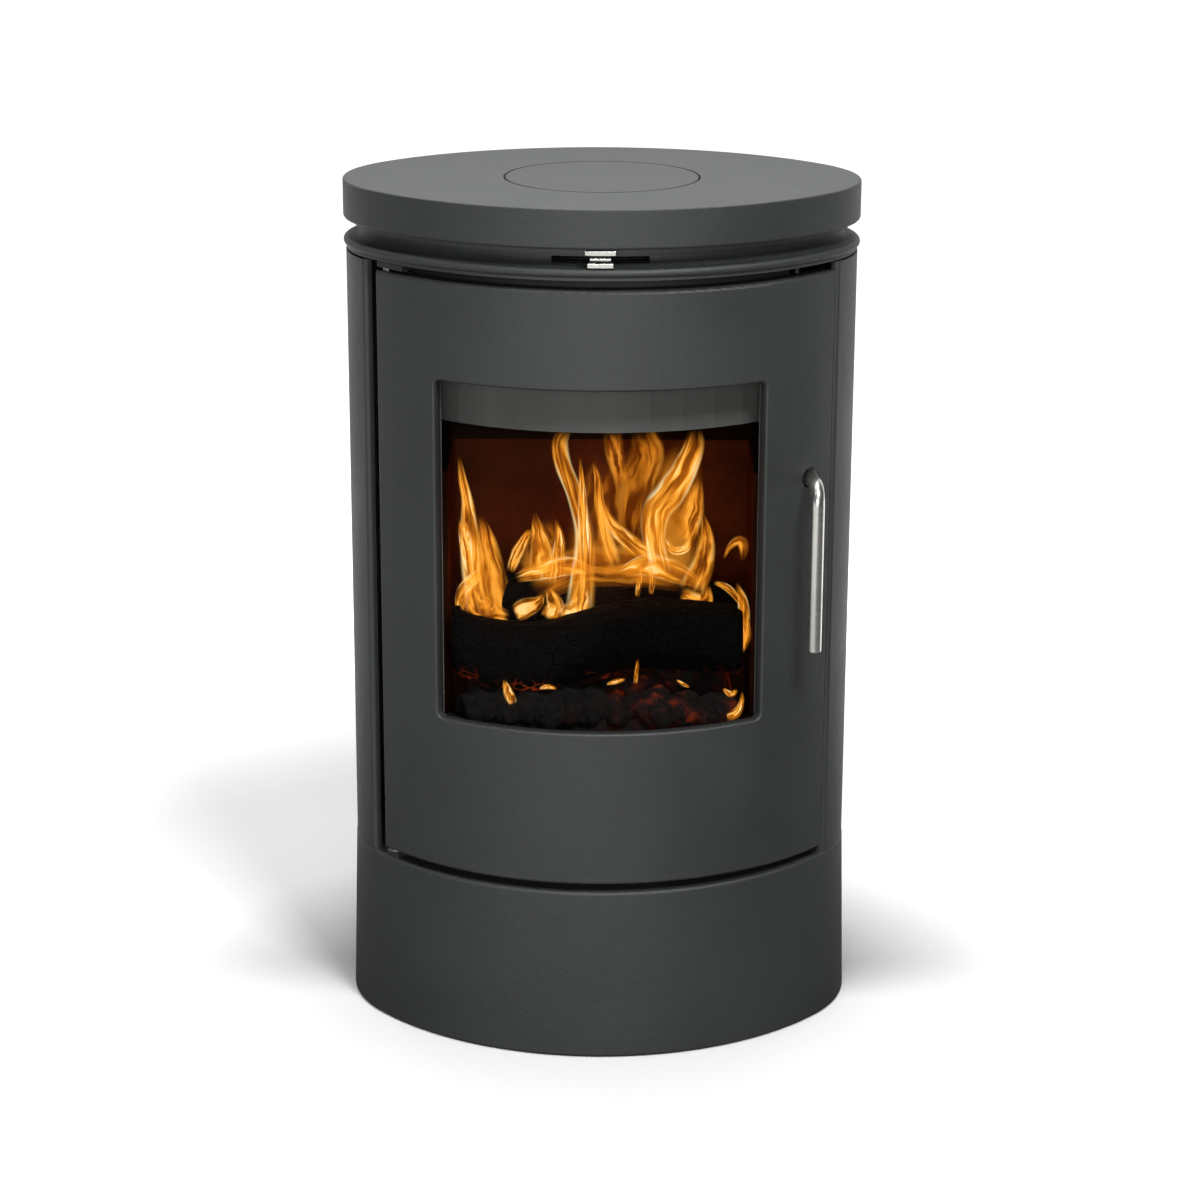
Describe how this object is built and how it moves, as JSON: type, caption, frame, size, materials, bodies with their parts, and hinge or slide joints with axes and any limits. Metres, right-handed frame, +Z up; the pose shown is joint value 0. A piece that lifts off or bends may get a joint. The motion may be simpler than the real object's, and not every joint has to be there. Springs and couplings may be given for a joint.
{
  "type": "wood stove",
  "caption": "Free-standing oval cast iron wood stove with a curved glazed door, side handle, sliding air control, lidded top outlet and rear flue spigot.",
  "frame": {"origin": "on the floor, at the centre of the oval plan", "axes": "+Z up, -Y out of the door, +X to the right of someone facing the door"},
  "size_m": [0.446, 0.338, 0.74],
  "materials": {
    "iron_outer": "sand cast, painted matt charcoal",
    "iron_inner": "sand cast, matt black",
    "sheet_steel": "matt black sheet",
    "strip_steel": "heat-dulled sheet",
    "fireclay": "pressed board, sooted",
    "glass": "clear ceramic glass",
    "seal_rope": "braided glass fibre rope",
    "handle_steel": "brushed stainless",
    "tab_chrome": "bright",
    "bright_steel": "plain zinc plated"
  },
  "bodies": {
    "body": {"base_plinth": "iron_outer", "side_panel_left": "iron_outer", "side_panel_right": "iron_outer", "top_collar": "iron_outer", "top_plate": "iron_outer", "hearth_plate": "iron_inner", "front_frame": "iron_inner", "firebox_wall_left": "iron_inner", "firebox_wall_right": "iron_inner", "firebox_wall_back": "iron_inner", "firebox_roof": "iron_inner", "firebox_floor": "iron_inner", "grate": "iron_inner", "log_retainer": "iron_inner", "outlet_blank": "iron_inner", "flue_spigot": "iron_inner", "air_valve_seat": "iron_inner", "rear_cover": "sheet_steel", "ash_pan": "sheet_steel", "smoke_shelf": "sheet_steel", "cover_spacers": "sheet_steel", "air_wash_strip": "strip_steel", "lining_left": "fireclay", "lining_right": "fireclay", "lining_back": "fireclay", "lining_rear_left": "fireclay", "lining_rear_right": "fireclay", "baffle_board": "fireclay", "air_slide_guides": "bright_steel", "latch_keeper": "bright_steel", "keeper_screws": "bright_steel", "hinge_pin_upper": "bright_steel", "hinge_pin_lower": "bright_steel", "hinge_washer": "bright_steel", "tie_rods": "bright_steel", "tie_rod_nuts": "bright_steel", "flue_screws": "bright_steel", "cover_screws": "bright_steel"},
    "door": {"door": "iron_outer", "door_glass": "glass", "glass_gasket": "seal_rope", "glass_clips": "sheet_steel", "glass_clip_screws": "bright_steel", "door_seal": "seal_rope", "handle_bush": "iron_inner"},
    "handle": {"door_handle": "handle_steel", "latch_cam": "bright_steel"},
    "air_control": {"air_slide": "bright_steel", "air_control_arm": "bright_steel", "air_control_tab": "tab_chrome"},
    "lid": {"flue_lid": "iron_outer"}
  },
  "joints": [
    {"name": "door_hinge", "type": "hinge", "parent": "body", "child": "door", "pos_m": [-0.17735, -0.07818, 0.417], "axis": [0, 0, -1], "range_deg": [0, 110]},
    {"name": "handle_turn", "type": "hinge", "parent": "door", "child": "handle", "pos_m": [0.17806, -0.08911, 0.5], "axis": [0.1045, -0.9945, 0], "range_deg": [0, 70]},
    {"name": "air_control_swing", "type": "hinge", "parent": "body", "child": "air_control", "pos_m": [0, 0.08345, 0.693], "axis": [0, 0, 1], "range_deg": [-8, 8]},
    {"name": "lid_lift", "type": "slide", "parent": "body", "child": "lid", "axis": [0, 0, 1], "range_m": [0, 0.06]}
  ]
}
